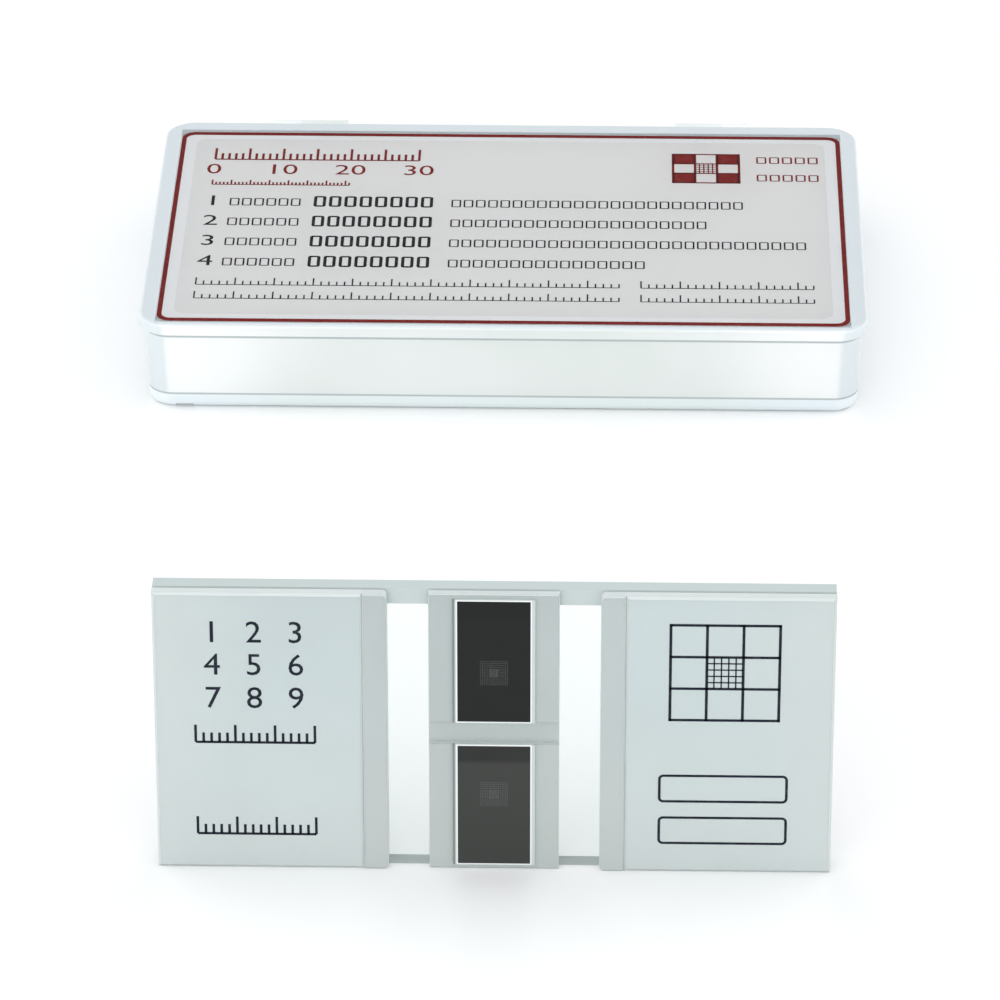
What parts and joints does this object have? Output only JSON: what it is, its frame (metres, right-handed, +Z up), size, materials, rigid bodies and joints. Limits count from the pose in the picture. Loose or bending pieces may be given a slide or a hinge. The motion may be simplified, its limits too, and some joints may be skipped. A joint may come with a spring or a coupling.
{
  "type": "hemocytometer",
  "caption": "Glass cell-counting chamber with mirror-coated ruled platforms, standing by its closed clear hinged storage case.",
  "frame": {"origin": "on the ground, under the middle of the whole set: the chamber's front face to the back of the case's hinge, and the case's width", "axes": "+Z up; +Y away from the reader, from the chamber to the case; +X to the right along the chamber's length"},
  "size_m": [0.092, 0.1744, 0.035],
  "materials": {
    "plate_glass": "polished",
    "ground_glass": "ground",
    "rail_glass": "ground sides, polished top",
    "mirror_coat": "dark metallised",
    "clear_plastic": "clear moulded",
    "card": "printed card",
    "white_foam": "fine closed-cell foam",
    "cover_glass": "polished",
    "tissue": "lens tissue"
  },
  "bodies": {
    "case": {"case_tray": "clear_plastic", "foam_base": "white_foam", "foam_surround": "white_foam", "cover_glass_lower": "cover_glass", "cover_glass_tissue": "tissue", "cover_glass_upper": "cover_glass"},
    "lid": {"case_lid": "clear_plastic", "record_card": "card", "lid_pad": "white_foam"},
    "chamber": {"chamber_base_plate": "plate_glass", "end_plate_left": "ground_glass", "end_plate_right": "ground_glass", "support_rail_left": "rail_glass", "support_rail_right": "rail_glass", "counting_bar": "ground_glass", "counting_platform_upper": "mirror_coat", "counting_platform_lower": "mirror_coat"}
  },
  "joints": [
    {"name": "lid_hinge", "type": "hinge", "parent": "case", "child": "lid", "pos_m": [0, 0.08524, 0.0099], "axis": [-1, 0, 0], "range_deg": [0, 110]},
    {"name": "chamber_lift", "type": "slide", "parent": "case", "child": "chamber", "axis": [0, 0, 1], "range_m": [0, 0.06]}
  ]
}
